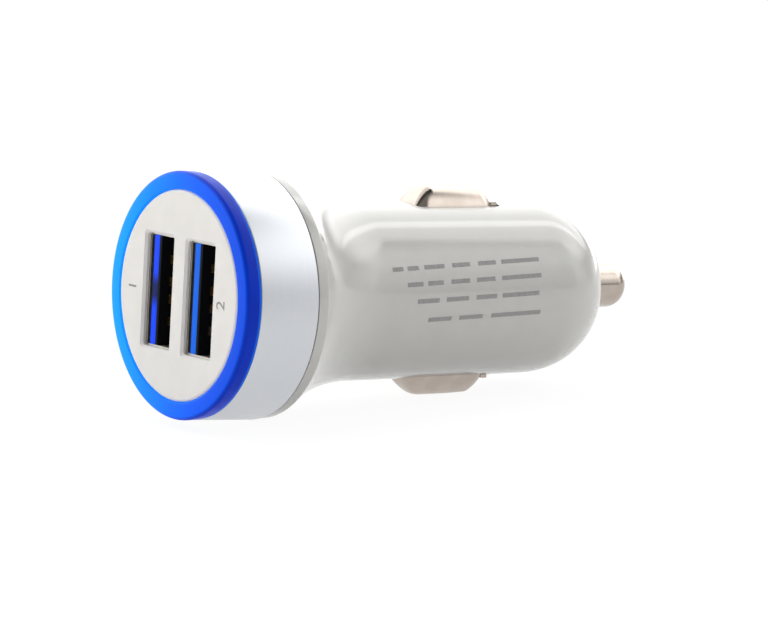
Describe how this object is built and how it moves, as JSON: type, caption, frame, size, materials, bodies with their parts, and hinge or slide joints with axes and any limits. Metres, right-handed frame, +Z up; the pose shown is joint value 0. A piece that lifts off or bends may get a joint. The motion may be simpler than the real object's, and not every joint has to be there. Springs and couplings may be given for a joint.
{
  "type": "car usb charger plug",
  "caption": "Car socket charger with two USB ports in a round lit head, a flared white barrel, sprung side contacts and a sprung centre tip.",
  "frame": {"origin": "on the plug's axis, where the flare has become the straight barrel", "axes": "+X along the plug towards the contact tip, +Z up through the side contacts"},
  "size_m": [0.0637, 0.0286, 0.0286],
  "materials": {
    "shell_white": "polished white moulding",
    "band_silver": "satin silver",
    "ring_blue": "translucent blue, lit from behind",
    "face_white": "satin off-white",
    "port_steel": "tin-plated sheet",
    "tongue_blue": "moulded blue",
    "pin_gold": "plated",
    "board_green": "solder mask",
    "lamp": "lamp body",
    "ferrite": "sintered",
    "copper": "enamelled wire",
    "can_sleeve": "sleeved can",
    "chip_black": "moulded",
    "tin": "tinned",
    "ceramic": "fired",
    "spring_steel": "drawn wire",
    "nickel": "nickel plate"
  },
  "bodies": {
    "housing": {"body_shell": "shell_white", "trim_band": "band_silver", "light_ring": "ring_blue", "faceplate": "face_white", "port_shell_1": "port_steel", "port_shell_2": "port_steel", "port_insulator_1": "tongue_blue", "port_insulator_2": "tongue_blue", "port_pins_1": "pin_gold", "port_pins_2": "pin_gold", "port_board": "board_green", "ring_leds": "lamp", "main_board": "board_green", "inductor_core": "ferrite", "inductor_winding": "copper", "input_capacitor": "can_sleeve", "output_capacitor": "can_sleeve", "converter_chip": "chip_black", "converter_legs": "tin", "catch_diode": "chip_black", "diode_tabs": "tin", "chip_resistors": "chip_black", "chip_capacitors": "ceramic", "spring_cup": "pin_gold", "tip_spring": "spring_steel"},
    "tip": {"contact_tip": "nickel"},
    "upper_contact": {"side_contact_upper": "nickel"},
    "lower_contact": {"side_contact_lower": "nickel"}
  },
  "joints": [
    {"name": "tip_press", "type": "slide", "parent": "housing", "child": "tip", "axis": [-1, 0, 0], "range_m": [0, 0.003], "stiffness_N_per_m": 1500, "deforming": ["tip_spring"]},
    {"name": "upper_contact_press", "type": "hinge", "parent": "housing", "child": "upper_contact", "pos_m": [-0.0015, 0, 0.00755], "axis": [0, 1, 0], "range_deg": [0, 9.5], "stiffness_Nm_per_rad": 0.5},
    {"name": "lower_contact_press", "type": "hinge", "parent": "housing", "child": "lower_contact", "pos_m": [-0.0015, 0, -0.00755], "axis": [0, -1, 0], "range_deg": [0, 9.5], "stiffness_Nm_per_rad": 0.5}
  ]
}
